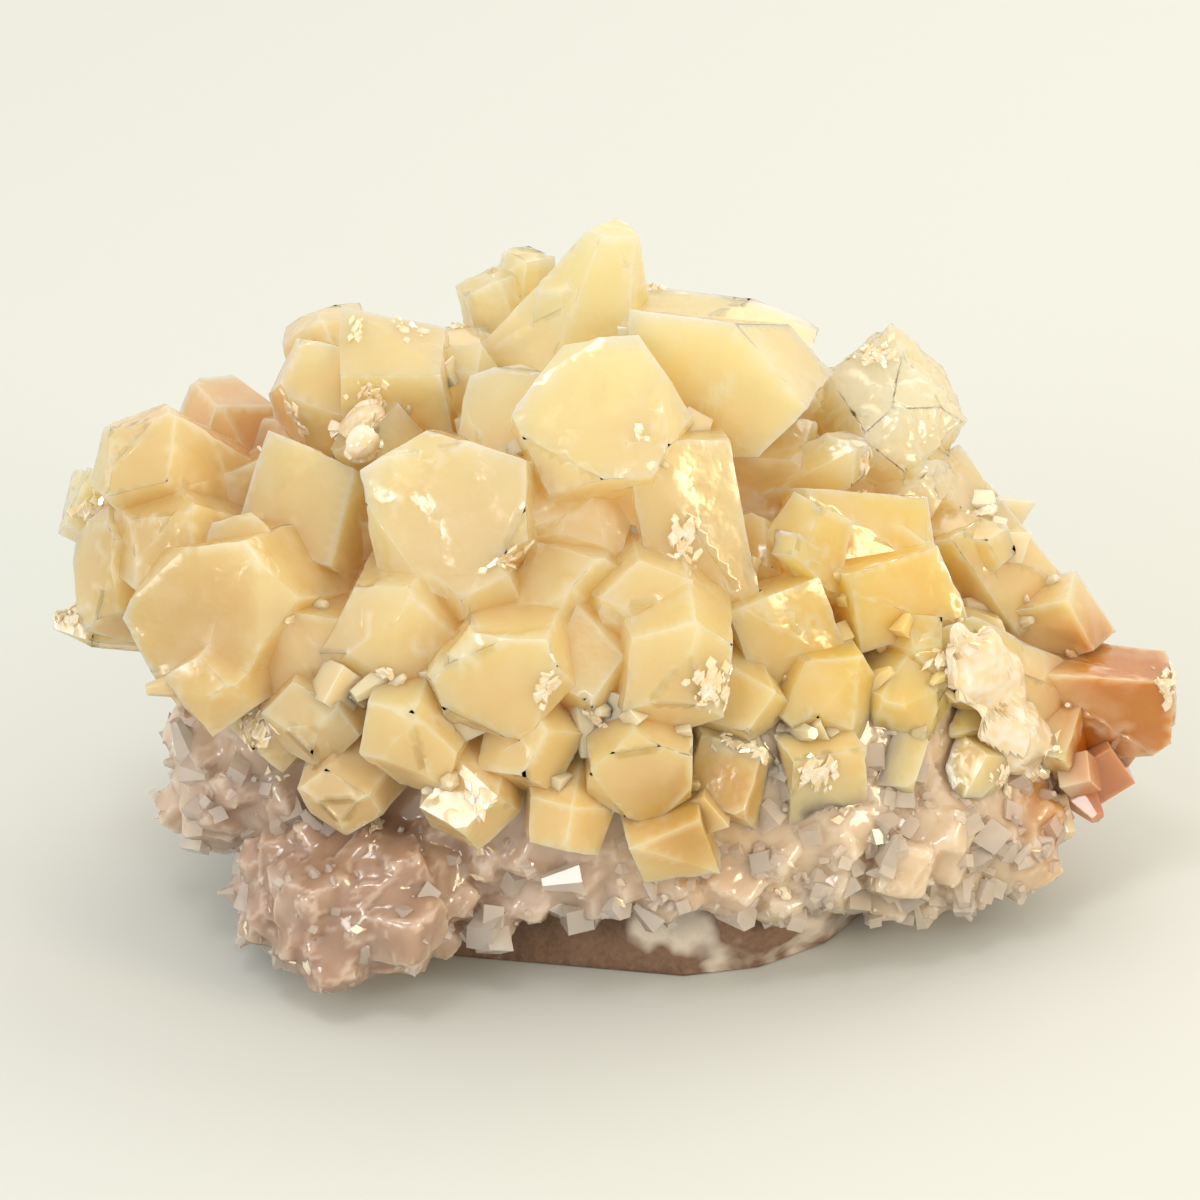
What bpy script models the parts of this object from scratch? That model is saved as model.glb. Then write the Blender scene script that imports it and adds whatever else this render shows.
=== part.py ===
"""A cluster of honey calcite crystals on its matrix.

Three bodies: the stubby crystals, which spread like a dome, the drusy crust that they grew on, and the
broken host rock under the crust. The specimen stands on the flat of the rock.

Metres, +Z up. The origin is on the flat that the specimen stands on, near the middle of it. The front, which
shows the largest crystals, faces -Y. Places and sizes in the tables are in millimetres.
"""

import math
import random

import bmesh
import bpy
from mathutils import Matrix, Vector, noise
from mathutils.bvhtree import BVHTree

MM = 0.001
GAP = 0.45  # mm, between the three bodies, which touch in the real specimen
ON_PLANE = 1e-8  # metres, a corner this near to a plane counts as on it
SAME_PLANE = math.radians(0.05)
GOLDEN_TURN = math.pi * (3 - math.sqrt(5))

# How calcite ends. sides: the directions of the side faces, in degrees, and lean: how far they lean in
# towards the tip. ends: the direction and the slope of the end faces. flat: the width of the flat that cuts
# the tip off, as a share of the crystal's width. waist: how far below the head the full width is measured,
# in widths.
STEEP = 15  # degrees; sides that lean in more than this stand on a straight prism
PRISM = (0, 60, 120, 180, 240, 300)
PAIRED = (8, 52, 128, 172, 248, 292)
CLEAVED = (0, 78, 180, 258)
FLAT = {"sides": PRISM, "lean": 4, "ends": ((90, 36), (210, 36), (330, 36)), "flat": 0.74, "waist": 0.3}
DOMED = {"sides": PRISM, "lean": 7, "ends": ((90, 27), (210, 27), (330, 27)), "flat": 0.2, "waist": 0.4}
TOOTH = {"sides": PAIRED, "lean": 22, "ends": ((90, 50), (210, 50), (330, 50)), "flat": 0.24, "waist": 0.9}
RHOMB = {"sides": PAIRED, "lean": 5, "ends": ((90, 44), (210, 44), (330, 44)), "flat": 0.03, "waist": 0.5}
BLOCK = {"sides": CLEAVED, "lean": 3, "ends": ((39, 14), (219, 3)), "flat": 0.0, "waist": 0.2}
WEDGE = {"sides": CLEAVED, "lean": 2, "ends": ((90, 46), (270, 46)), "flat": 0.0, "waist": 0.6}
PROW = {"sides": CLEAVED, "lean": 2, "ends": ((90, 64), (270, 30)), "flat": 0.0, "waist": 0.6}
THREE = (30, 150, 270)
SMALL = {"sides": THREE, "lean": -32, "ends": ((90, 48), (210, 48), (330, 48)), "flat": 0.0, "waist": 0.6}

# The crystals that show from the front: the place of the head, the way it points (degrees round from the
# front to the right, and up), its width, height and length, how it ends, and its turn about its own axis.
HEADS = (
    # the peak and the crystals beside it
    ((0.3, 3.0, 46.6), (75, 76), (12.6, 11.0, 28), TOOTH, 20),
    ((-4.0, 1.0, 43.2), (-44, 64), (9.4, 8.4, 20), TOOTH, 40),
    ((-8.9, 8.0, 41.4), (-100, 70), (4.2, 4.0, 14), DOMED, 5),
    ((-5.6, 10.0, 42.6), (150, 76), (4.0, 3.8, 14), DOMED, 30),
    ((13.4, 0.0, 38.4), (80, 2), (8.0, 6.0, 12), PROW, 8),
    ((14.0, -5.0, 37.8), (74, 2), (8.6, 9.0, 12), WEDGE, -4),
    ((5.2, -2.0, 40.4), (40, 58), (7.4, 6.6, 16), RHOMB, 15),
    # the heads in the middle, which face forward
    ((-0.7, -11.0, 39.0), (0, 42), (10.8, 10.0, 20), FLAT, 30),
    ((-7.0, -7.5, 38.0), (-24, 52), (7.0, 7.0, 16), FLAT, 10),
    ((-11.0, -15.0, 33.4), (-12, 30), (11.4, 10.6, 22), FLAT, 12),
    ((5.4, -13.4, 31.4), (8, 14), (7.4, 11.5, 20), BLOCK, 6),
    ((-1.6, -13.6, 31.6), (0, 28), (6.8, 6.4, 17), DOMED, 45),
    ((2.0, -12.6, 34.4), (10, 34), (5.4, 5.0, 15), RHOMB, 0),
    ((-3.4, -18.4, 28.4), (-6, 12), (8.2, 5.8, 20), RHOMB, 25),
    ((2.6, -18.6, 27.6), (8, 8), (7.0, 5.6, 20), DOMED, 5),
    # the left shoulder
    ((-20.4, 8.0, 38.6), (-130, 64), (6.6, 6.4, 18), DOMED, 15),
    ((-15.0, -1.0, 39.8), (-14, 74), (7.6, 6.8, 22), BLOCK, 10),
    ((-10.6, 2.5, 38.6), (20, 76), (6.6, 6.0, 18), DOMED, 0),
    ((-21.0, 0.0, 39.4), (-58, 68), (6.2, 6.6, 20), RHOMB, 20),
    ((-16.2, -7.0, 35.6), (-16, 44), (6.6, 6.0, 16), RHOMB, 44),
    ((-21.4, -9.4, 31.8), (-28, 36), (7.4, 7.2, 18), BLOCK, 5),
    ((-26.6, -5.0, 31.4), (-46, 44), (6.6, 6.4, 16), RHOMB, 32),
    ((-33.2, -4.4, 34.0), (-62, 46), (8.2, 8.0, 20), DOMED, 28),
    ((-29.2, 7.0, 33.6), (-110, 56), (7.8, 6.4, 18), RHOMB, 12),
    ((-37.8, 1.0, 27.4), (-86, 26), (4.4, 4.8, 14), BLOCK, 50),
    ((-38.8, -3.0, 19.6), (-84, 8), (3.0, 3.0, 12), TOOTH, 15),
    ((-31.6, -10.0, 29.6), (-50, 36), (8.8, 7.8, 18), DOMED, 22),
    ((-35.6, -6.5, 25.2), (-66, 16), (7.4, 7.8, 18), FLAT, 18),
    ((-27.4, -15.8, 26.0), (-32, 16), (12.4, 10.4, 22), FLAT, 46),
    ((-25.0, -13.0, 30.2), (-26, 44), (5.0, 4.6, 14), FLAT, 0),
    ((-27.4, -18.4, 20.8), (-32, -14), (6.2, 5.6, 14), DOMED, 10),
    # the row under the middle
    ((-20.4, -18.0, 24.0), (-22, 4), (6.0, 6.4, 18), BLOCK, 12),
    ((-15.2, -20.0, 25.6), (-15, 8), (8.4, 8.0, 18), DOMED, 36),
    ((-9.8, -18.8, 29.0), (-8, 14), (6.4, 5.4, 18), RHOMB, 5),
    ((-7.4, -22.6, 24.2), (-5, 0), (8.8, 7.2, 19), FLAT, 24),
    ((4.6, -22.6, 24.2), (8, -2), (9.0, 7.4, 18), DOMED, 52),
    ((-1.4, -22.2, 23.0), (0, -4), (6.0, 6.6, 18), RHOMB, 15),
    ((-20.4, -20.0, 19.4), (-20, -8), (6.6, 6.4, 15), DOMED, 18),
    ((-13.6, -23.4, 19.6), (-12, -6), (6.0, 7.2, 15), DOMED, 42),
    ((-5.8, -24.0, 18.4), (-5, -10), (6.4, 5.8, 14), RHOMB, 40),
    ((2.2, -23.4, 17.6), (4, -12), (7.0, 7.0, 16), FLAT, 3),
    # the smaller crystals where the crust begins
    ((-23.8, -18.0, 17.2), (-30, -10), (5.6, 5.2, 12), RHOMB, 30),
    ((-18.4, -21.6, 14.6), (-20, -14), (5.8, 5.0, 13), DOMED, 8),
    ((-9.8, -24.6, 14.8), (-8, -14), (6.0, 5.6, 13), RHOMB, 16),
    ((-3.0, -24.8, 13.4), (-2, -18), (5.2, 5.4, 12), RHOMB, 44),
    ((4.2, -23.8, 12.0), (6, -20), (5.2, 4.6, 12), BLOCK, 24),
    ((8.8, -22.2, 14.6), (12, -14), (6.6, 6.6, 14), RHOMB, 31),
    ((14.8, -19.4, 15.0), (22, -8), (5.8, 5.8, 13), BLOCK, 6),
    ((20.4, -16.6, 13.8), (34, -10), (6.2, 5.4, 13), RHOMB, 22),
    ((26.2, -12.8, 11.2), (48, -12), (5.8, 5.2, 12), DOMED, 14),
    # the right side
    ((21.0, 3.4, 34.8), (44, 50), (11.8, 9.8, 22), DOMED, 40),
    ((22.6, 3.6, 31.6), (62, 30), (8.0, 8.4, 18), DOMED, 10),
    ((12.6, -4.6, 32.6), (34, 38), (8.6, 8.0, 16), RHOMB, 8),
    ((18.2, -8.0, 28.4), (24, 26), (9.4, 6.2, 18), BLOCK, -4),
    ((20.0, -11.0, 25.0), (28, 10), (8.2, 5.8, 16), BLOCK, 12),
    ((25.4, 3.6, 27.0), (74, 34), (6.6, 7.0, 18), FLAT, 16),
    ((28.6, -1.0, 23.0), (46, 26), (7.0, 8.6, 16), BLOCK, 22),
    ((33.6, -2.0, 19.8), (66, 22), (4.4, 5.2, 12), BLOCK, 14),
    ((39.6, -4.0, 13.8), (82, 2), (6.0, 6.4, 22), BLOCK, 10),
    ((20.7, -12.8, 22.6), (-52, 34), (3.4, 5.4, 17), TOOTH, 0),
    ((10.4, -12.0, 28.2), (20, 24), (7.0, 7.6, 16), RHOMB, 47),
    ((12.4, -15.0, 23.6), (14, 8), (6.6, 7.6, 16), BLOCK, 22),
    ((11.6, -13.2, 30.4), (-50, 46), (1.8, 1.8, 14), BLOCK, 30),
    ((15.4, -17.0, 20.0), (22, 4), (7.6, 6.8, 16), DOMED, 33),
    ((21.2, -14.4, 18.6), (34, 4), (7.4, 6.6, 16), DOMED, 3),
    ((27.4, -10.4, 15.6), (46, 2), (7.6, 6.8, 16), RHOMB, 26),
    ((33.4, -6.0, 11.6), (66, -10), (6.4, 6.0, 14), BLOCK, 41),
    ((35.0, -2.5, 9.4), (84, -14), (5.0, 4.8, 12), DOMED, 12),
    ((9.0, -20.0, 19.6), (12, -4), (6.6, 6.2, 14), RHOMB, 20),
)

# The back, in rings of crystals: how far up they point, how many, how far out from the middle of the dome
# they stand (to the side, to the back, and up), and their width.
BACK_RINGS = (
    (62, 4, (14, 11, 21.0), 8.4),
    (38, 6, (23, 17, 16.5), 8.8),
    (14, 8, (29, 21, 10.5), 8.2),
    (-8, 8, (31, 22, 4.0), 6.6),
)
BACK_MIDDLE = (0.0, 2.0, 14.0)
BACK_SWEEP = 84  # degrees to each side of straight back
BACK_LENGTH = 18

CORE = ((-1.0, 1.0, 18.0), (27.0, 15.5, 17.0))  # where the crystals meet: its middle and half sizes
NESTLINGS = 54  # crystals set round the core, which fill the clefts between the large ones
NESTLING_WIDTH = (3.4, 5.4)
NESTLING_LENGTH = 9
NESTLING_STRAY = 0.35  # from straight out
NESTLING_HEIGHT = (2.6, 5.4)  # out from the core
NESTLING_REACH = 1.15  # how far down they go, where 2 is all the way round

CRUST = (  # the swellings of the crust: middle and half sizes
    ((0.5, -0.5, 11.0), (29.5, 22.0, 15.0)),
    ((-17.0, -15.0, 6.5), (8.5, 10.0, 6.6)),
    ((-22.4, -8.0, 11.5), (7.8, 8.0, 7.5)),
    ((19.5, -7.5, 7.4), (12.0, 9.0, 7.4)),
)
CRUST_FLOOR = 0.5  # the crust ends this far above the surface that the specimen stands on
GROUND = (120, 120, 30)  # the slab that cuts the crust off there
BREAKS = (  # where the crust has come off the rock, in front and behind: middle and half sizes
    ((6.0, -21.5, -0.5), (11.5, 7.4, 7.0)),
    ((-3.0, 21.0, -1.0), (15.0, 8.0, 9.0)),
)
SMALL_TRIES = 4000  # places tried for a small crystal on the crust
SMALL_WIDTH = (2.6, 5.4)
SMALL_APART = 0.88  # of their width, between the middles of two small crystals
SMALL_RISE = 0.5  # of their width, from the crust to the head
SMALL_LENGTH = 1.5  # of their width
SMALL_STRAY = 0.4  # from straight out
SMALL_UNEVEN = 1.4
ROOM_AT_ROOT = 0.68  # of their width, from the root to the other bodies
ROOM_AT_HEAD = 0.25  # of their width, from the head to the other bodies

ROCK = ((0.6, -0.4, 3.0), (21.5, 19.5, 10.5))  # middle and half sizes
ROCK_CHIPS = (  # the broken faces round the rock: a point, and the way it faces
    ((5.5, -17.8, 2.5), (-10, 12)),
    ((14.0, -15.6, 2.0), (38, 8)),
    ((-9.0, -16.8, 2.5), (-24, 20)),
    ((-17.4, -8.0, 3.0), (-70, 10)),
    ((19.0, 2.0, 3.0), (84, 14)),
    ((9.0, 16.6, 4.0), (160, 16)),
    ((-8.0, 17.4, 4.0), (-166, 8)),
)

# The skins of the rounded bodies: how finely they are divided, and how rough and how coarse they are.
CORE_SKIN = (2, 1.0, 8.0)
CRUST_SKIN = (2, 1.8, 6.0)
BREAK_SKIN = (2, 1.2, 4.0)
ROCK_SKIN = (3, 1.6, 5.0)

HONEY = (0.80, 0.62, 0.33)
LILAC_GREY = (0.62, 0.50, 0.42)
BROWN_GREY = (0.30, 0.23, 0.19)


def vector_of(aim):
    """A direction given as degrees round from the front to the right, and up."""
    turn, up = (math.radians(angle) for angle in aim)
    return Vector((math.sin(turn) * math.cos(up), -math.cos(turn) * math.cos(up), math.sin(up)))


def aim_of(way):
    """A unit vector as degrees round from the front to the right, and up."""
    return math.degrees(math.atan2(way.x, -way.y)), math.degrees(math.asin(way.z))


def astray(way, stray, dice):
    """A direction near another one."""
    return (way + Vector([dice.uniform(-stray, stray) for _ in range(3)])).normalized()


def cleave(bm, point, normal):
    """Splits a body along a plane and keeps the part behind it."""
    everything = bm.verts[:] + bm.edges[:] + bm.faces[:]
    cut = bmesh.ops.bisect_plane(
        bm, geom=everything, dist=ON_PLANE, plane_co=point, plane_no=normal, clear_outer=True
    )
    rim = [edge for edge in cut["geom_cut"] if isinstance(edge, bmesh.types.BMEdge)]
    if rim:
        bmesh.ops.edgeloop_fill(bm, edges=rim)


def add_object(name, bm, group):
    mesh = bpy.data.meshes.new(name)
    bm.to_mesh(mesh)
    bm.free()
    shape = bpy.data.objects.new(name, mesh)
    group.objects.link(shape)
    return shape


def add_crystal(group, place, aim, size, end, turn, dice, uneven=1.0):
    """Adds one crystal: a blank cleaved by its side faces, its end faces and the flat on its tip.

    The dice make its faces stray from the ideal crystal, and uneven says by how much.
    """
    wide, tall, long = size
    mean = (wide + tall) / 2
    depth = long / mean
    bm = bmesh.new()
    bmesh.ops.create_cube(bm, size=1)
    bmesh.ops.scale(bm, verts=bm.verts, vec=(3, 3, depth + 1))
    bmesh.ops.translate(bm, verts=bm.verts, vec=(0, 0, (1 - depth) / 2))
    for angle in end["sides"]:
        a = math.radians(angle + uneven * dice.uniform(-5, 5))
        lean = math.radians(end["lean"] + uneven * dice.uniform(-3, 3))
        half = 0.5 * (1 + uneven * dice.uniform(-0.08, 0.06))
        out = Vector((math.cos(a), math.sin(a), 0))
        leaning = out * math.cos(lean) + Vector((0, 0, math.sin(lean)))
        cleave(bm, out * half - Vector((0, 0, end["waist"])), leaning)
        if end["lean"] > STEEP:
            cleave(bm, out * half, out)
    for angle, slope in end["ends"]:
        a = math.radians(angle + uneven * dice.uniform(-6, 6))
        s = math.radians(slope + uneven * dice.uniform(-5, 5))
        tip = end["flat"] / 2 * math.tan(s) + uneven * dice.uniform(0, 0.04)
        cleave(bm, (0, 0, tip), (math.cos(a) * math.sin(s), math.sin(a) * math.sin(s), math.cos(s)))
    if end["flat"]:
        tilt = math.radians(uneven * dice.uniform(0, 4))
        cleave(bm, (0, 0, 0), (math.sin(tilt), 0, math.cos(tilt)))
    along = vector_of(aim)
    across = Vector((0, 0, 1)).cross(along).normalized()
    axes = Matrix((across, along.cross(across), along)).transposed().to_4x4()
    bmesh.ops.scale(bm, verts=bm.verts, vec=Vector((wide, tall, mean)) * MM)
    bmesh.ops.transform(bm, verts=bm.verts, matrix=axes @ Matrix.Rotation(math.radians(turn), 4, "Z"))
    bmesh.ops.translate(bm, verts=bm.verts, vec=Vector(place) * MM)
    bmesh.ops.recalc_face_normals(bm, faces=bm.faces)
    return add_object("one_crystal", bm, group)


def add_lump(name, body, skin, seed, extra=0.0):
    """Adds a rounded body whose surface noise pushes in and out, larger by extra millimetres."""
    middle, half = body
    detail, roughness, grain = skin
    bm = bmesh.new()
    bmesh.ops.create_icosphere(bm, subdivisions=detail, radius=1)
    for vertex in bm.verts:
        out = vertex.co.normalized()
        place = Vector(middle) + Vector(half) * out
        push = noise.noise(place / grain + Vector((seed, 0, 0)))
        vertex.co = (place + out * (push * roughness + extra)) * MM
    return add_object(name, bm, bpy.context.scene.collection)


def reshape(shape, *planes):
    """Cleaves a finished body by planes, each a point in millimetres and a direction."""
    bm = bmesh.new()
    bm.from_mesh(shape.data)
    for point, normal in planes:
        cleave(bm, Vector(point) * MM, normal)
    bm.to_mesh(shape.data)
    bm.free()


def combine(shape, operation, other, solver="EXACT"):
    """Joins a body to another, or to all those of a group, or cuts it with it, and uses the other up.

    Where hundreds of crystals cross, the exact solver leaves gaps in the skin, and the manifold one doesn't.
    """
    change = shape.modifiers.new(operation.lower(), "BOOLEAN")
    change.operation = operation
    change.solver = solver
    used = [other]
    if isinstance(other, bpy.types.Collection):
        change.operand_type = "COLLECTION"
        change.collection = other
        used = list(other.objects)
    else:
        change.object = other
    result = bpy.data.meshes.new_from_object(shape.evaluated_get(bpy.context.evaluated_depsgraph_get()))
    shape.modifiers.clear()
    shape.data = result
    for thing in used:
        bpy.data.objects.remove(thing)


def keep_skin(shape):
    """Joins the faces that lie in one plane again, and drops hollows and crumbs inside the outer skin."""
    bm = bmesh.new()
    bm.from_mesh(shape.data)
    bmesh.ops.dissolve_limit(bm, angle_limit=SAME_PLANE, verts=bm.verts, edges=bm.edges)
    left = set(bm.verts)
    skins = []
    while left:
        skin = set()
        newest = {left.pop()}
        while newest:
            skin |= newest
            newest = {edge.other_vert(vertex) for vertex in newest for edge in vertex.link_edges} & left
            left -= newest
        skins.append(skin)
    skins.sort(key=len)
    for skin in skins[:-1]:
        bmesh.ops.delete(bm, geom=list(skin), context="VERTS")
    bmesh.ops.triangulate(bm, faces=bm.faces)
    bm.to_mesh(shape.data)
    bm.free()


def new_group(name):
    group = bpy.data.collections.new(name)
    bpy.context.scene.collection.children.link(group)
    return group


def back_heads(dice):
    """The crystals of the back."""
    for up, count, reach, width in BACK_RINGS:
        for step in range(count):
            share = (step + 0.5) / count * 2 - 1
            side = math.radians(share * BACK_SWEEP + dice.uniform(-7, 7))
            out = dice.uniform(0.92, 1.05)
            place = Vector(BACK_MIDDLE) + Vector(reach) * Vector((math.sin(side), math.cos(side), 1)) * out
            place.z += dice.uniform(-2, 2)
            aim = (180 - math.degrees(side) + dice.uniform(-14, 14), up + dice.uniform(-12, 12))
            wide = width * dice.uniform(0.7, 1.25)
            end = dice.choice((FLAT, DOMED, RHOMB, BLOCK, DOMED))
            yield place, aim, (wide, wide * dice.uniform(0.8, 1.05), BACK_LENGTH), end, dice.uniform(0, 90)


def nestlings(dice):
    """The crystals in the clefts, spread evenly round the core."""
    middle, half = CORE
    for step in range(NESTLINGS):
        up = 1 - (step + 0.5) / NESTLINGS * NESTLING_REACH
        side = step * GOLDEN_TURN
        level = math.sqrt(1 - up * up)
        out = Vector((math.sin(side) * level, -math.cos(side) * level, up))
        place = Vector(middle) + Vector(half) * out + out * dice.uniform(*NESTLING_HEIGHT)
        wide = dice.uniform(*NESTLING_WIDTH)
        way = astray(out, NESTLING_STRAY, dice)
        size = (wide, wide * dice.uniform(0.8, 1), NESTLING_LENGTH)
        yield place, aim_of(way), size, RHOMB, dice.uniform(0, 120)


def make_crystals():
    dice = random.Random(11)
    group = new_group("large_crystals")
    for row in (*HEADS, *back_heads(dice), *nestlings(dice)):
        add_crystal(group, *row, dice)
    crystals = add_lump("crystals", CORE, CORE_SKIN, 5)
    combine(crystals, "UNION", group, "MANIFOLD")
    combine(crystals, "DIFFERENCE", make_crust_body(GAP), "MANIFOLD")
    keep_skin(crystals)
    return crystals


def make_crust_body(extra=0.0):
    """The crust's swellings joined in one body, or the same body larger by extra millimetres."""
    first, *others = (add_lump("druse", body, CRUST_SKIN, seed, extra) for seed, body in enumerate(CRUST))
    for swelling in others:
        combine(first, "UNION", swelling)
    return first


def points_on(shape, dice, count):
    """Places on a body's surface, evenly by area, each with the way that the surface faces there."""
    shape.data.calc_loop_triangles()
    triangles = list(shape.data.loop_triangles)
    for face in dice.choices(triangles, weights=[face.area for face in triangles], k=count):
        a, b, c = (shape.data.vertices[index].co for index in face.vertices)
        u, v = sorted((dice.random(), dice.random()))
        yield (a * u + b * (v - u) + c * (1 - v)) / MM, Vector(face.normal)


def add_small_crystals(crust, neighbours):
    """Covers the open surface of the crust with small crystals that stand clear of the other bodies."""
    dice = random.Random(23)
    seen = bpy.context.evaluated_depsgraph_get()
    surfaces = [BVHTree.FromObject(shape, seen) for shape in neighbours]
    group = new_group("small_crystals")
    taken = []

    def room_at(spot):
        return min(surface.find_nearest(spot * MM)[3] for surface in surfaces) / MM - GAP

    for place, normal in points_on(crust, dice, SMALL_TRIES):
        share = dice.random() ** 2
        wide = min(SMALL_WIDTH[0] * (1 - share) + SMALL_WIDTH[1] * share, room_at(place) / ROOM_AT_ROOT)
        way = astray(normal, SMALL_STRAY, dice)
        head = place + way * wide * SMALL_RISE
        if wide < SMALL_WIDTH[0] or room_at(head) < wide * ROOM_AT_HEAD:
            continue
        if min(head.z, place.z) < CRUST_FLOOR + wide / 2:
            continue
        if any((place - other).length < SMALL_APART * (wide + width) / 2 for other, width in taken):
            continue
        taken.append((place, wide))
        size = (wide, wide, wide * SMALL_LENGTH)
        add_crystal(group, head, aim_of(way), size, SMALL, dice.uniform(0, 120), dice, SMALL_UNEVEN)
    combine(crust, "UNION", group, "MANIFOLD")


def make_druse(crystals, rock):
    crust = make_crust_body()
    for seed, body in enumerate(BREAKS):
        combine(crust, "DIFFERENCE", add_lump("chip", body, BREAK_SKIN, seed))
    combine(crust, "DIFFERENCE", make_rock_body(GAP))
    combine(crust, "DIFFERENCE", make_ground())
    add_small_crystals(crust, (crystals, rock))
    combine(crust, "DIFFERENCE", make_ground(), "MANIFOLD")
    keep_skin(crust)
    return crust


def make_ground():
    """A slab that takes off all that reaches lower than the crust's floor."""
    bm = bmesh.new()
    bmesh.ops.create_cube(bm, size=1)
    bmesh.ops.translate(bm, verts=bm.verts, vec=(0, 0, -0.5))
    bmesh.ops.scale(bm, verts=bm.verts, vec=Vector(GROUND) * MM)
    bmesh.ops.translate(bm, verts=bm.verts, vec=(0, 0, CRUST_FLOOR * MM))
    return add_object("ground", bm, bpy.context.scene.collection)


def make_rock_body(extra=0.0):
    return add_lump("matrix", ROCK, ROCK_SKIN, 3, extra)


def make_matrix():
    rock = make_rock_body()
    reshape(rock, *((point, vector_of(aim)) for point, aim in ROCK_CHIPS), ((0, 0, 0), (0, 0, -1)))
    keep_skin(rock)
    return rock


def paint(shape, colour, roughness, transmission):
    material = bpy.data.materials.new(shape.name)
    material.use_nodes = True
    shader = material.node_tree.nodes["Principled BSDF"]
    shader.inputs["Base Color"].default_value = (*colour, 1)
    shader.inputs["Roughness"].default_value = roughness
    shader.inputs["Metallic"].default_value = 0.0
    shader.inputs["Transmission Weight"].default_value = transmission
    shape.data.materials.clear()
    shape.data.materials.append(material)


for thing in list(bpy.data.objects):
    bpy.data.objects.remove(thing)
matrix = make_matrix()
crystals = make_crystals()
druse = make_druse(crystals, matrix)
paint(crystals, HONEY, 0.18, 0.5)
paint(druse, LILAC_GREY, 0.3, 0.4)
paint(matrix, BROWN_GREY, 0.85, 0.0)
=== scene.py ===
"""A honey calcite cluster: stubby translucent crystals on a drusy crust, on a piece of their host rock."""

import math
import random

import bmesh
import bpy
from mathutils import Matrix, Vector, noise
from mathutils.bvhtree import BVHTree


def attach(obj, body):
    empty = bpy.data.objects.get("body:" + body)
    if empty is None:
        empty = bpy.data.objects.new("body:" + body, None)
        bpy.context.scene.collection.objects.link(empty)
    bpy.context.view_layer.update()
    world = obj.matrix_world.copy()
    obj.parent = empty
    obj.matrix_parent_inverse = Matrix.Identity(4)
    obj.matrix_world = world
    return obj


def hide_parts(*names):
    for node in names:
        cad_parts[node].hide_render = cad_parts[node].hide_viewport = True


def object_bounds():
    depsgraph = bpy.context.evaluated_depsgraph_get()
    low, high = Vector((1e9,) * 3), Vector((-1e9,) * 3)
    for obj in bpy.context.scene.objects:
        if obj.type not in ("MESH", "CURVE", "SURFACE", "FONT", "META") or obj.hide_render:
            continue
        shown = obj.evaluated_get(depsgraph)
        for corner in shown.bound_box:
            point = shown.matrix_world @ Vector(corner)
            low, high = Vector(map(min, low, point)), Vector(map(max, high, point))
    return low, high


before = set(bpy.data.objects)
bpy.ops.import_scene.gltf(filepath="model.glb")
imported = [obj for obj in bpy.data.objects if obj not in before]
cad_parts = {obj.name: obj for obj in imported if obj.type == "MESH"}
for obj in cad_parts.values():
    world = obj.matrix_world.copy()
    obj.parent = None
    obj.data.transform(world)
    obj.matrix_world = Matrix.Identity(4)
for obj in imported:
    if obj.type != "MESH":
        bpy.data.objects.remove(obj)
cad_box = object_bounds()
MM = 0.001

# The camera, 25 degrees above the specimen, where 14.5 pixels of a picture 1200 wide cover a millimetre. It
# comes first, because some of the fractures are placed where a spot of that picture falls on the specimen.
DOWN = math.radians(25)
AWAY = 320  # mm
PICTURE = 1200  # pixels
FOCUS = 14.5 * AWAY  # pixels
SENSOR = 36  # mm
right = Vector((1, 0, 0))
look = Vector((0, math.cos(DOWN), -math.sin(DOWN)))
up = Vector((0, math.sin(DOWN), math.cos(DOWN)))
target = right * -0.69 + up * 18.07 - look * 15
eye = bpy.data.cameras.new("eye")
eye.sensor_width = SENSOR
eye.lens = SENSOR * FOCUS / PICTURE
eye.clip_start = 0.01
camera = bpy.data.objects.new("camera", eye)
camera.location = (target - look * AWAY) * MM
camera.rotation_euler = look.to_track_quat("-Z", "Y").to_euler()
bpy.context.scene.collection.objects.link(camera)
bpy.context.scene.camera = camera

# The host rock. A fine-grained limestone, stained brown, that broke off the wall of a cavity together with
# the crystals. Its broken faces are dull and granular, with pale patches where calcite has healed it.
ROCK_STEP = 0.7  # mm, the finest edge of the broken surface
ROCK_LUMPS = ((5.0, 0.45), (1.8, 0.25), (0.7, 0.12))  # mm: how far apart, and how deep
ROCK_BACK = 0.15  # mm, how far the surface stands back, so that the lumps stay inside it
ROCK_FLAT = 0.05  # mm, the height up to which the underside stays flat


def merged_copy(node):
    """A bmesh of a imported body, with its loose triangles joined and its flat faces whole again."""
    bm = bmesh.new()
    bm.from_mesh(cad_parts[node].data)
    bmesh.ops.remove_doubles(bm, verts=bm.verts, dist=0.002 * MM)
    bmesh.ops.dissolve_limit(bm, angle_limit=math.radians(0.5), verts=bm.verts, edges=bm.edges)
    return bm


def add_piece(name, bm, slot, *replaced):
    """Turns a bmesh into a piece that rides with the specimen."""
    mesh = bpy.data.meshes.new(name)
    bm.to_mesh(mesh)
    bm.free()
    piece = bpy.data.objects.new(name, mesh)
    bpy.context.scene.collection.objects.link(piece)
    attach(piece, "root")
    if replaced:
        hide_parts(*replaced)
    return piece


def split_until(bm, longest, middle=None, reach=0):
    """Divides a triangle mesh until no edge, or none this near to a middle, is longer than this many mm."""

    def is_near(edge):
        return middle is None or (
            (edge.verts[0].co + edge.verts[1].co) / 2 - middle * MM
        ).length < reach * MM

    for _ in range(7):
        long_edges = [edge for edge in bm.edges if edge.calc_length() > longest * MM and is_near(edge)]
        if not long_edges:
            return
        bmesh.ops.subdivide_edges(bm, edges=long_edges, cuts=1, use_grid_fill=False)
        bmesh.ops.triangulate(bm, faces=[face for face in bm.faces if len(face.verts) > 3])


def points_with_normals(verts):
    """The vertices, each with the way it faces before any of them moves."""
    return [(vertex, vertex.normal.copy()) for vertex in verts]


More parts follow.
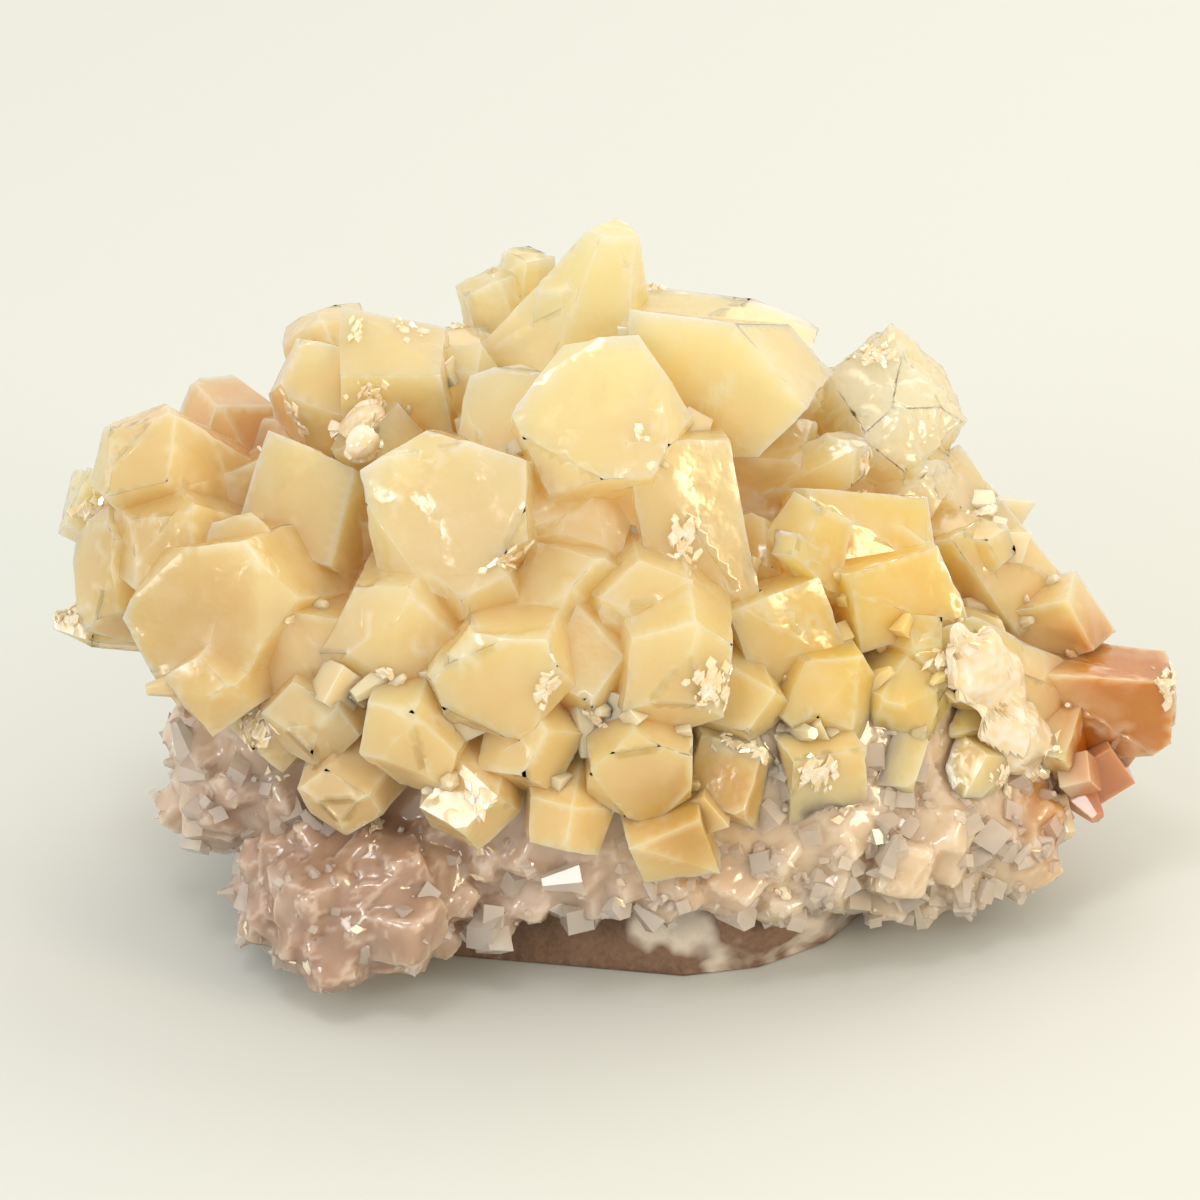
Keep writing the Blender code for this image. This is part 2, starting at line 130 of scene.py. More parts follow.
def keep_in_box(point):
    """The same point, or the nearest one that is still in the specimen's own box."""
    low, high = cad_box
    return Vector([min(max(point[axis], low[axis]), high[axis]) for axis in range(3)])


bm = merged_copy("matrix")
bmesh.ops.triangulate(bm, faces=bm.faces)
split_until(bm, ROCK_STEP)
bm.normal_update()
for vertex, out in points_with_normals(bm.verts):
    if vertex.co.z < ROCK_FLAT * MM:
        continue
    depth = sum(noise.noise(vertex.co / (apart * MM)) * deep for apart, deep in ROCK_LUMPS)
    vertex.co = keep_in_box(vertex.co + out * (depth - ROCK_BACK) * MM)
for face in bm.faces:
    face.smooth = True
host_rock = add_piece("host_rock", bm, "host_rock", "matrix")


def linear(code):
    """An sRGB hex colour as linear values with an alpha of 1."""
    parts = [int(code[i:i + 2], 16) / 255 for i in (1, 3, 5)]
    return (*(c / 12.92 if c <= 0.04045 else ((c + 0.055) / 1.055) ** 2.4 for c in parts), 1.0)


def add_node(tree, kind, settings=(), **inputs):
    """Adds a node: settings are its properties, and inputs are values or sockets by name or number."""
    made = tree.nodes.new("ShaderNode" + kind)
    for key, value in dict(settings).items():
        setattr(made, key, value)
    for key, value in inputs.items():
        numbered = key[0] == "i" and key[1:].isdigit()
        socket = made.inputs[int(key[1:]) if numbered else key.replace("_", " ")]
        if isinstance(value, bpy.types.NodeSocket):
            tree.links.new(value, socket)
        else:
            socket.default_value = value
    return made


def new_material(name):
    """A material, with its nodes and its shader."""
    material = bpy.data.materials.new(name)
    material.use_nodes = True
    return material, material.node_tree, material.node_tree.nodes["Principled BSDF"]


def place_in_mm(tree):
    """The place on the object in millimetres."""
    spot = add_node(tree, "TexCoord").outputs["Object"]
    return add_node(tree, "VectorMath", {"operation": "SCALE"}, i0=spot, Scale=1 / MM).outputs[0]


# Stained limestone with rough broken faces: dull, with grains of about 0.4 mm and pale healed patches.
stone, tree, shader = new_material("broken_limestone")
in_mm = place_in_mm(tree)
grain = add_node(tree, "TexNoise", Vector=in_mm, Scale=2.4, Detail=6.0, Roughness=0.7).outputs["Fac"]
stain = add_node(tree, "TexNoise", Vector=in_mm, Scale=0.16, Detail=3.0).outputs["Fac"]
browns = add_node(tree, "ValToRGB", Fac=grain)
browns.color_ramp.elements[0].color = linear("#543B2D")
browns.color_ramp.elements[1].color = linear("#94765E")
healed = add_node(tree, "MapRange", Value=stain, From_Min=0.55, From_Max=0.66).outputs["Result"]
patched = add_node(
    tree, "Mix", {"data_type": "RGBA"}, i0=healed, i6=browns.outputs["Color"], i7=linear("#D3C8B8")
)
tree.links.new(patched.outputs[2], shader.inputs["Base Color"])
shader.inputs["Roughness"].default_value = 0.85
bump = add_node(tree, "Bump", Height=grain, Strength=0.6, Distance=0.25 * MM)
tree.links.new(bump.outputs["Normal"], shader.inputs["Normal"])
host_rock.data.materials.append(stone)

# The crust. The first calcite to grow on the rock: a waxy skin of small crystals, each a few millimetres
# wide and grown into its neighbours. Glassy grains of about a millimetre stand on it, most at the right.
CRUST_GRID = 0.34  # mm, how finely its surface is divided
CRUST_ROUNDS = 3  # of smoothing, which melt the small crystals together
CRUST_FACETS = ((2.8, 0.40), (1.1, 0.22))  # mm: the width of the small facets, and how far they tilt
CRUST_GROWTH = 0.08  # mm, makes up for what the smoothing takes away
CRUST_CREASE = 30  # degrees
SUGAR = 2200
SUGAR_WIDTH = (0.4, 2.5)  # mm
SUGAR_STRAY = 0.7  # how far the grains lean


def facet_height(place, width):
    """The height, in facet widths, of a surface of small flat facets that each tilt their own way."""
    place = place / (width * MM)
    middle = noise.voronoi(place)[1][0]
    tilt = noise.cell_vector(middle * 31.7) - Vector((0.5, 0.5, 0.5))
    return tilt.dot(place - middle)


def smoothed_but_for_edges(bm, angle):
    """Shades a mesh smooth, except across edges sharper than this many degrees."""
    for face in bm.faces:
        face.smooth = True
    for edge in bm.edges:
        edge.smooth = edge.calc_face_angle(0) < math.radians(angle)
    return bm


def regrown(node):
    """A body's surface on a fine even grid, rounded by some smoothing, with small facets on it."""
    bm = merged_copy(node)
    mesh = bpy.data.meshes.new("rough_copy")
    bm.to_mesh(mesh)
    bm.free()
    rough = bpy.data.objects.new("rough_copy", mesh)
    bpy.context.scene.collection.objects.link(rough)
    even = rough.modifiers.new("even_grid", "REMESH")
    even.mode = "VOXEL"
    even.voxel_size = CRUST_GRID * MM
    seen = rough.evaluated_get(bpy.context.evaluated_depsgraph_get())
    bm = bmesh.new()
    bm.from_mesh(seen.to_mesh())
    bpy.data.objects.remove(rough)
    for _ in range(CRUST_ROUNDS):
        bmesh.ops.smooth_vert(
            bm, verts=bm.verts, factor=0.5, use_axis_x=True, use_axis_y=True, use_axis_z=True
        )
    bm.normal_update()
    for vertex, out in points_with_normals(bm.verts):
        swell = sum(facet_height(vertex.co, width) * high for width, high in CRUST_FACETS)
        vertex.co = keep_in_box(vertex.co + out * (swell + CRUST_GROWTH) * MM)
    return smoothed_but_for_edges(bm, CRUST_CREASE)


def places_on(bm, dice, count, odds):
    """Places spread over a mesh, each with the way its surface faces. odds(place, normal) weighs them."""
    looped = bm.calc_loop_triangles()
    areas = []
    for loops in looped:
        a, b, c = (loop.vert.co for loop in loops)
        areas.append((b - a).cross(c - a).length * odds((a + b + c) / 3, loops[0].face.normal))
    for loops in dice.choices(looped, weights=areas, k=count):
        a, b, c = (loop.vert.co for loop in loops)
        u, v = sorted((dice.random(), dice.random()))
        yield a * u + b * (v - u) + c * (1 - v), loops[0].face.normal.copy()


def turned_to(way, dice):
    """The turn that points +Z along a direction, with a random turn about it."""
    pointing = way.to_track_quat("Z", "Y").to_matrix().to_4x4()
    return pointing @ Matrix.Rotation(dice.uniform(0, math.tau), 4, "Z")


def strewn(way, stray, dice):
    """A direction that strays from another by some share of its length."""
    return (way + Vector([dice.uniform(-stray, stray) for _ in range(3)])).normalized()


def unless_out_of_box(bm, made):
    """Deletes new vertices again if any of them has left the specimen's box."""
    if any((keep_in_box(vertex.co) - vertex.co).length > 0.02 * MM for vertex in made):
        bmesh.ops.delete(bm, geom=made, context="VERTS")


STAND_ON_CORNER = Vector((1, 1, 1)).rotation_difference(Vector((0, 0, 1))).to_matrix().to_4x4()


def add_grain(bm, place, way, width, stretch, dice):
    """Adds one small crystal: a rhombohedron on its corner, or a six-sided point."""
    matrix = Matrix.Translation(place) @ turned_to(way, dice)
    if dice.random() < 0.5:
        matrix = matrix @ Matrix.Diagonal((1, 1, stretch, 1)) @ STAND_ON_CORNER
        made = bmesh.ops.create_cube(bm, size=width * MM / 1.3, matrix=matrix)["verts"]
    else:
        wide = width * MM / 2
        made = bmesh.ops.create_cone(
            bm, cap_ends=True, segments=6, radius1=wide, radius2=wide * dice.uniform(0.05, 0.45),
            depth=width * stretch * MM, matrix=matrix
        )["verts"]
    unless_out_of_box(bm, made)


def odds_of_sugar(place, normal):
    """Glassy grains: none underneath, and fewer at the left."""
    if normal.z < -0.8:
        return 0
    return 1.0 if place.x > -4 * MM else 0.45


def mostly_small(sizes, dice):
    """A size between two, most often one of the smaller."""
    return sizes[0] + (sizes[1] - sizes[0]) * dice.random() ** 2


crust_faces = merged_copy("druse")
dice = random.Random(4)
sugar = bmesh.new()
for place, normal in places_on(crust_faces, dice, SUGAR, odds_of_sugar):
    width = mostly_small(SUGAR_WIDTH, dice)
    sunk = place - normal * width * 0.1 * MM
    add_grain(sugar, sunk, strewn(normal, SUGAR_STRAY, dice), width, dice.uniform(0.8, 1.3), dice)
crust = add_piece("crust", regrown("druse"), "drusy_calcite", "druse")
sugar = add_piece("sugar_crystals", sugar, "drusy_calcite")

HIGHLIGHT_EDGE = 26  # degrees, how sharp an edge has to be to get a painted highlight
ZONE_BENDS = (0.11, 3.5)  # the bends in the border of a zone: how many to a mm, and how wide in mm
ZONE_BORDER = 0.65  # the share of a zone's reach over which it fades out
CLOUDS = (0.30, 0.26, 0.6)  # the pale clouds: how many to a mm, how strong, and the most that they hide


def tint_by_zone(mesh, ground, zones, pale_and_highlight, edge_highlight=0.0):
    """Keeps a tint at each point of a mesh. A zone has a middle and a reach in mm and a colour, and a sharp
    outer edge gets a painted highlight: it is mixed with its own pale colour."""
    tint = mesh.attributes.new("tint", "FLOAT_COLOR", "POINT")
    ground = Vector(linear(ground)[:3])
    pale_and_highlight = Vector(linear(pale_and_highlight)[:3])
    rows = [(Vector(middle), reach, Vector(linear(code)[:3])) for middle, reach, code in zones]
    # the sharp outer edges, which get a painted highlight
    on_edge = set()
    if edge_highlight:
        bm = bmesh.new()
        bm.from_mesh(mesh)
        for edge in bm.edges:
            if edge.calc_face_angle_signed(0) > math.radians(HIGHLIGHT_EDGE):
                on_edge.update(vertex.index for vertex in edge.verts)
        bm.free()
    for vertex in mesh.vertices:
        place = vertex.co / MM
        bent = place + noise.noise_vector(place * ZONE_BENDS[0]) * ZONE_BENDS[1]
        mixed = ground
        for middle, reach, wanted in rows:
            away = (bent - middle).length / reach
            if away < 1:
                share = min(1.0, (1 - away) / ZONE_BORDER)
                mixed = mixed.lerp(wanted, share * share * (3 - 2 * share))
        cloud = CLOUDS[1] * noise.fractal(place * CLOUDS[0], 0.7, 2.0, 3)
        # pale clouds, and on sharp outer edges a painted highlight
        paler = min(CLOUDS[2], max(0.0, cloud)) + edge_highlight * (vertex.index in on_edge)
        tint.data[vertex.index].color = (*mixed.lerp(pale_and_highlight, paler), 1.0)


def read_tint(tree, shader, paler=0.0):
    """Colours a shader by the tint kept in its mesh, mixed with some white."""
    tint = add_node(tree, "Attribute", {"attribute_name": "tint"}).outputs["Color"]
    if paler:
        white = linear("#FFFAF0")
        tint = add_node(tree, "Mix", {"data_type": "RGBA"}, i0=paler, i6=tint, i7=white).outputs[2]
    tree.links.new(tint, shader.inputs["Base Color"])


def scatter(shader, reach):
    """Lets light into a material, to come out again about this many mm away."""
    shader.inputs["Subsurface Weight"].default_value = 1.0
    shader.inputs["Subsurface Radius"].default_value = (1, 1, 1)
    shader.inputs["Subsurface Scale"].default_value = reach * MM


# Calcite that grew fast and small: waxy, with a lilac brown cast at the left and the middle, partly from
# the stained rock behind it and partly painted shade and a painted pinkish reflection, paler at the right,
# and glinting where its facets catch the light, and where white flakes on it are painted glints.
CRUST_ZONES = (
    ((20, -14, 9), 18, "#DCC4A4"),  # pale
    ((-20, -22, 8), 14, "#AC8C74"),  # lilac brown, partly painted shade and a painted pinkish reflection
    ((5, -22, 12), 8, "#D4B07C"),  # stained honey
    ((31, -8, 10), 8, "#D09858"),  # stained orange
    ((0, 0, 22), 20, "#F0DCB8"),  # cream, up between the large crystals
)
druse, tree, shader = new_material("druse_of_small_calcite")
# the crust's sharp edges are painted paler: a painted highlight
tint_by_zone(crust.data, "#D2B8A2", CRUST_ZONES, "#F6E8DA", edge_highlight=0.2)
read_tint(tree, shader)
scatter(shader, 3.0)
shader.inputs["Transmission Weight"].default_value = 0.15
shader.inputs["Roughness"].default_value = 0.14
shader.inputs["IOR"].default_value = 1.66
crust.data.materials.append(druse)

# The glassy grains: partly clear, so that they show what they stand on.
clear_druse, tree, shader = new_material("clear_grains_of_calcite")
# the grains share the crust's zones, so the lilac brown painted shade falls on them too
tint_by_zone(sugar.data, "#EBD9CB", CRUST_ZONES, "#FFF8F0")
read_tint(tree, shader, paler=0.6)
shader.inputs["Transmission Weight"].default_value = 0.6
shader.inputs["Roughness"].default_value = 0.05
shader.inputs["IOR"].default_value = 1.6
sugar.data.materials.append(clear_druse)

# The crystals. Honey calcite, grown last and largest, in stubby prisms with blunt ends that spread from the
# crust. Their edges are a little worn, and small late crystals have settled in the clefts between them.
EDGE = 0.12  # mm, how far the edges are worn
LATE_EDGE = 0.05  # mm, the same for the small ones
WORN_ANGLE = 14  # degrees, how sharp an edge has to be to wear
STEP = 0.95  # mm, the finest edge of their faces
TERRACES = ((7.0, 0.45), (2.6, 0.12))  # mm: the width of the growth terraces, and how far they tilt
SWELLINGS = ((5.0, 0.06), (1.6, 0.03))  # mm: how far apart, and how high
FACE_CREASE = 24  # degrees
KNOCKED_OFF = ((41.1, -3, 9.5), (9, 20, 6), -41.3)  # a block that holds the lost corner, low at the right
BROKEN_LUMP = Vector((20, 3, 34))  # the middle of the broken crystal at the right, mm
BROKEN_REACH = 9  # mm
BROKEN_FROM = (14, 28)  # mm, how far right and how high up the breaks start
BROKEN_STEP = 0.5  # mm, the finest edge there
BROKEN_FACETS = ((2.6, 0.9), (1.1, 0.4))  # mm: the width of the breaks, and how far they tilt
BROKEN_BACK = 0.15  # mm, how far they stand back
CLEFT = -0.5  # radians, how sharp an inner edge has to be to gather small crystals
LATE = 170
LATE_WIDTH = (1.0, 3.4)  # mm
ORANGE = (  # the small orange crystals low at the right: place, the way they point, and width, mm
    ((34.2, -5.5, 9.6), (0.9, -0.5, -0.2), 4.6),
    ((33.2, -7.5, 8.0), (0.5, -0.8, -0.4), 3.6),
    ((35.6, -4.5, 11.4), (0.9, -0.3, 0.1), 3.6),
    ((32.6, -8.6, 10.6), (0.3, -0.9, 0.2), 3.0),
    ((31.4, -9.0, 7.2), (0.4, -0.8, -0.5), 2.8),
    ((34.6, -2.0, 8.2), (1.0, 0.2, -0.3), 3.4),
)


def wear_edges(bm, width):
    """Wears the outer edges of crystals, wherever every edge next to them leaves room for it."""
    edges = [
        edge for edge in bm.edges
        if len(edge.link_faces) == 2
        and edge.calc_face_angle_signed(0) > math.radians(WORN_ANGLE)
        and all(near.calc_length() > 3 * width * MM for vertex in edge.verts for near in vertex.link_edges)
    ]
    bmesh.ops.bevel(
        bm, geom=edges, offset=width * MM, offset_type="OFFSET", segments=1, profile=0.5,
        affect="EDGES", clamp_overlap=True, material=-1
    )


def cleaved(bm, middle, size, turn):
    """What is left without a block: its middle and size in mm, turned about Y by some degrees."""
    block = bmesh.new()
    matrix = Matrix.Translation(Vector(middle) * MM) @ Matrix.Rotation(math.radians(turn), 4, "Y")
    bmesh.ops.create_cube(block, size=MM, matrix=matrix @ Matrix.Diagonal((*size, 1)))
    objects = []
    for name, part in (("whole", bm), ("block", block)):
        mesh = bpy.data.meshes.new(name)
        part.to_mesh(mesh)
        part.free()
        objects.append(bpy.data.objects.new(name, mesh))
        bpy.context.scene.collection.objects.link(objects[-1])
    cut = objects[0].modifiers.new("cleaved", "BOOLEAN")
    cut.operation = "DIFFERENCE"
    cut.object = objects[1]
    cut.solver = "EXACT"
    seen = objects[0].evaluated_get(bpy.context.evaluated_depsgraph_get())
    left = bmesh.new()
    left.from_mesh(seen.to_mesh())
    for part in objects:
        bpy.data.objects.remove(part)
    return left


def sorted_by_place(bm):
    """The same mesh with its parts in a lasting order, because a bevel's order changes from run to run."""
    along = Vector((1.0, 7.13, 51.7))
    bm.verts.sort(key=lambda vertex: along.dot(vertex.co))
    bm.edges.sort(key=lambda edge: along.dot(edge.verts[0].co + edge.verts[1].co))
    bm.faces.sort(key=lambda face: along.dot(face.calc_center_median()))
    mesh = bpy.data.meshes.new("in_order")
    bm.to_mesh(mesh)
    bm.free()
    bm = bmesh.new()
    bm.from_mesh(mesh)
    bpy.data.meshes.remove(mesh)
    return bm


faces = cleaved(merged_copy("crystals"), *KNOCKED_OFF)
bmesh.ops.remove_doubles(faces, verts=faces.verts, dist=0.002 * MM)
clefts = [
    edge for edge in faces.edges
    if len(edge.link_faces) == 2 and edge.calc_face_angle_signed(0) < CLEFT
]
odds = [edge.calc_length() * (1.0 if edge.verts[0].co.z < 26 * MM else 0.15) for edge in clefts]
dice = random.Random(9)
late = bmesh.new()
for edge in dice.choices(clefts, weights=odds, k=LATE):
    a, b = (vertex.co for vertex in edge.verts)
    out = (edge.link_faces[0].normal + edge.link_faces[1].normal).normalized()
    width = mostly_small(LATE_WIDTH, dice)
    place = a.lerp(b, dice.random()) - out * width * 0.08 * MM
    add_grain(late, place, strewn(out, 0.5, dice), width, dice.uniform(0.9, 1.6), dice)
for place, way, width in ORANGE:
    add_grain(late, Vector(place) * MM, Vector(way).normalized(), width, 1.0, dice)
wear_edges(late, LATE_EDGE)

wear_edges(faces, EDGE)
bmesh.ops.triangulate(faces, faces=faces.faces)
split_until(faces, STEP)
split_until(faces, BROKEN_STEP, BROKEN_LUMP, BROKEN_REACH)
faces = sorted_by_place(faces)
faces.normal_update()
for vertex, out in points_with_normals(faces.verts):
    swell = sum(noise.noise(vertex.co / (apart * MM)) * high for apart, high in SWELLINGS)
    broken = max(0.0, 1 - (vertex.co - BROKEN_LUMP * MM).length / (BROKEN_REACH * MM)) ** 0.5
    if vertex.co.x > BROKEN_FROM[0] * MM and vertex.co.z > BROKEN_FROM[1] * MM:
        tilted = sum(facet_height(vertex.co, width) * high for width, high in BROKEN_FACETS)
        swell += broken * (tilted - BROKEN_BACK)
    swell += sum(facet_height(vertex.co, width) * high for width, high in TERRACES)
    vertex.co = keep_in_box(vertex.co + out * swell * MM)
smoothed_but_for_edges(faces, FACE_CREASE)
surface = BVHTree.FromBMesh(faces)
crystals = add_piece("large_crystals", faces, "honey_calcite", "crystals")
late = add_piece("late_crystals", late, "honey_calcite")

# Honey calcite: light that enters it comes out again from all round, which makes it glow, with a waxy sheen
# on its faces and sharp edges painted paler, a painted highlight. Iron tints it, from cream at the top to
# peach at the upper left and orange at the right, and low down, where the crystals are small, the light
# goes less far.
HONEY_ZONES = (
    ((-29, -12, 27), 16, "#E0C080"),  # dusky honey
    ((-28, 4, 34), 11, "#E8B880"),  # peach
    ((0, -3, 42), 17, "#FCE0A4"),  # cream tips, partly painted light from above
    ((-9, -15, 32), 9, "#ECD4A0"),  # the pale ribbed crystal
    ((20, 2, 35), 9, "#FCE8C0"),  # the broken crystal, whitened by its cracks
    ((19, -12, 24), 14, "#FCCC70"),  # golden
    ((-19, -20, 16), 9, "#E8CC98"),  # sandy, where it meets the crust
    ((6, -23, 14), 7, "#D8B060"),  # golden brown
    ((38, -5, 15), 10, "#CC8428"),  # orange
    ((34, -6, 8), 6, "#C06808"),  # the deepest orange, underneath
)
REACH_HEIGHT = (18.0, 30.0)  # mm
REACH = (2.0, 9.0)  # mm, how far light goes at and below the first height, and at and above the second
honey, tree, shader = new_material("cloudy_honey_calcite")
# the sharp edges of the large crystals are painted paler: a painted highlight
tint_by_zone(crystals.data, "#F2D496", HONEY_ZONES, "#FFF4DA", edge_highlight=0.3)
read_tint(tree, shader)
scatter(shader, REACH[1])
in_mm = place_in_mm(tree)
height = add_node(tree, "SeparateXYZ", Vector=in_mm).outputs["Z"]
reach = add_node(
    tree, "MapRange", Value=height, From_Min=REACH_HEIGHT[0], From_Max=REACH_HEIGHT[1],
    To_Min=REACH[0] * MM, To_Max=REACH[1] * MM
)
tree.links.new(reach.outputs["Result"], shader.inputs["Subsurface Scale"])
growth = add_node(tree, "TexNoise", Vector=in_mm, Scale=1.6, Detail=1.0).outputs["Fac"]
dull = add_node(tree, "MapRange", Value=growth, From_Min=0.3, From_Max=0.7, To_Min=0.08, To_Max=0.24)
tree.links.new(dull.outputs["Result"], shader.inputs["Roughness"])
bump = add_node(tree, "Bump", Height=growth, Strength=0.25, Distance=0.12 * MM)
tree.links.new(bump.outputs["Normal"], shader.inputs["Normal"])
shader.inputs["Transmission Weight"].default_value = 0.35
shader.inputs["IOR"].default_value = 1.66
crystals.data.materials.append(honey)

# The same calcite where it is small enough to be partly clear.
clear_honey, tree, shader = new_material("clear_honey_calcite")
tint_by_zone(late.data, "#F6E0B4", HONEY_ZONES, "#FFFAF0")
read_tint(tree, shader, paler=0.12)
scatter(shader, 1.5)
shader.inputs["Transmission Weight"].default_value = 0.3
shader.inputs["Roughness"].default_value = 0.06
shader.inputs["IOR"].default_value = 1.6
late.data.materials.append(clear_honey)

# Fractures. Where a crystal has been knocked or has split, it has come away in small thin flakes, and light
# flashes white in the gaps between them. Two crystals have shattered all through.
FRACTURES = (  # a spot of the picture, half the patch across and up in mm, its turn in degrees, its flakes
    ((505, 560), (1.3, 1.2), 0, 30),
    ((368, 400), (1.4, 2.0), -15, 30),
    ((640, 432), (0.3, 0.8), 30, 6),
    ((682, 545), (0.9, 2.0), 0, 34),
    ((255, 728), (1.7, 1.5), 0, 46),
    ((367, 832), (0.9, 1.5), -10, 26),
    ((382, 675), (0.5, 0.9), -20, 10),
    ((546, 688), (0.6, 1.4), -10, 20),
    ((592, 718), (1.6, 0.8), 0, 22),
    ((712, 690), (1.6, 1.9), 0, 50),
    ((742, 745), (1.5, 0.7), -30, 24),
    ((820, 776), (1.6, 1.2), 0, 34),
    ((948, 664), (2.0, 0.7), -35, 16),
    ((1040, 735), (2.2, 1.0), -45, 16),
    ((1167, 690), (0.4, 1.7), 10, 20),
    ((1005, 775), (1.6, 0.6), 20, 18),
    ((925, 350), (0.8, 1.6), -20, 20),
    ((480, 800), (1.0, 1.4), 10, 20),
    ((785, 890), (0.6, 1.0), 10, 10),
)
FLAKE_WIDTH = (0.2, 0.8)  # mm
FLAKE_THICKNESS = 0.16  # mm
BLADES = (  # the shattered crystals: a middle, a start and an end in the picture, width and depth in mm
    ((1000, 705), (900, 632), (1090, 785), 4.8, 2.2),
    ((358, 425), (330, 380), (392, 480), 3.0, 1.2),
)
BLADE_LUMPS = (3.0, 1.2)  # mm: how far apart, and how high
BLADE_FACETS = (3.8, 1.4)  # mm: their width, and how far they tilt
STRAY_FRACTURES = 40
# white flakes strewn over the crust as painted glints
PAINTED_GLINTS = 260
FLAKE_CREASE = 20  # degrees
dice = random.Random(21)
crust_surface = BVHTree.FromBMesh(crust_faces)


def seen_at(px, py):
    """The place that the camera sees at a spot of its picture, with the way the surface faces there."""
    ray = look + right * (px - PICTURE / 2) / FOCUS - up * (py - PICTURE / 2) / FOCUS
    hits = [tree.ray_cast(camera.location, ray.normalized()) for tree in (surface, crust_surface)]
    hits = [hit for hit in hits if hit[0] is not None]
    return min(hits, key=lambda hit: hit[3])[:2] if hits else (None, None)


def lying_at(place, along, out):
    """The matrix of a thing that lies on a surface: its +X runs along it, and its +Z points out of it."""
    return Matrix.Translation(place) @ Matrix((along, out.cross(along), out)).transposed().to_4x4()


def add_blade(bm, middle, start, end, width, depth):
    """Adds a crumpled blade between two spots of the picture, half sunk where its middle is seen."""
    place, way = seen_at(*middle)
    run = right * (end[0] - start[0]) - up * (end[1] - start[1])
    along = (run - way * run.dot(way)).normalized()
    size = Vector((run.length * AWAY / FOCUS, width, depth))
    made = bmesh.ops.create_icosphere(
        bm, subdivisions=5, radius=MM / 2, matrix=lying_at(place, along, way) @ Matrix.Diagonal((*size, 1))
    )
    bm.normal_update()
    for vertex, out in points_with_normals(made["verts"]):
        swell = noise.noise(vertex.co / (BLADE_LUMPS[0] * MM)) * BLADE_LUMPS[1]
        swell += facet_height(vertex.co, BLADE_FACETS[0]) * BLADE_FACETS[1]
        vertex.co = keep_in_box(vertex.co + out * swell * MM)


def add_flakes(bm, place, way, across, upwards, turn, count, dice):
    """Adds a patch of split steps, which lie nearly flat and run nearly the same way, as calcite splits."""
    side = way.cross(up).normalized() if abs(way.dot(up)) < 0.95 else right
    rise = side.cross(way).normalized()
    turned = Matrix.Rotation(math.radians(turn), 3, way)
    run = turned @ rise
    for _ in range(count):
        moved = side * dice.gauss(0, across / 2) + rise * dice.gauss(0, upwards / 2)
        spot = place + turned @ moved * MM
        spots = [tree.find_nearest(spot) for tree in (surface, crust_surface)]
        spot, normal = min(spots, key=lambda hit: hit[3])[:2]
        out = strewn(normal, 0.3, dice)
        along = run - out * run.dot(out) if abs(run.dot(out)) < 0.95 else out.orthogonal()
        matrix = lying_at(spot, along.normalized(), out) @ Matrix.Rotation(dice.gauss(0, 0.35), 4, "Z")
        wide = dice.uniform(*FLAKE_WIDTH) * MM
        made = bmesh.ops.create_cone(
            bm, cap_ends=True, segments=dice.choice((3, 4, 4, 5)), radius1=wide, radius2=wide * 0.75,
            depth=FLAKE_THICKNESS * MM, matrix=matrix @ Matrix.Diagonal((1, dice.uniform(0.35, 0.85), 1, 1))
        )["verts"]
        unless_out_of_box(bm, made)


def odds_of_stray_fracture(place, normal):
    """Only the crystals behind, because the table above places those in front."""
    return 0 if normal.z < -0.3 or place.y < -4 * MM else 1


def odds_of_painted_glint(place, normal):
    """Painted glints: white flakes all over the crust, but for its underside."""
    return 0 if normal.z < -0.3 else 1


flakes = bmesh.new()
for blade in BLADES:
    add_blade(flakes, *blade)
for (px, py), (across, upwards), turn, count in FRACTURES:
    place, way = seen_at(px, py)
    if place is not None:
        add_flakes(flakes, place, way, across, upwards, turn, count, dice)
crystal_faces = merged_copy("crystals")
for place, normal in places_on(crystal_faces, dice, STRAY_FRACTURES, odds_of_stray_fracture):
    across, upwards = dice.uniform(0.4, 1.6), dice.uniform(0.4, 1.6)
    add_flakes(flakes, place, normal, across, upwards, 0, dice.randrange(8, 34), dice)
# single white flakes on the crust, painted glints
for place, normal in places_on(crust_faces, dice, PAINTED_GLINTS, odds_of_painted_glint):
    add_flakes(flakes, place, normal, 0.3, 0.3, dice.uniform(0, 180), dice.randrange(1, 4), dice)
crystal_faces.free()
crust_faces.free()
smoothed_but_for_edges(flakes, FLAKE_CREASE)
flakes = add_piece("fracture_flakes", flakes, "honey_calcite")
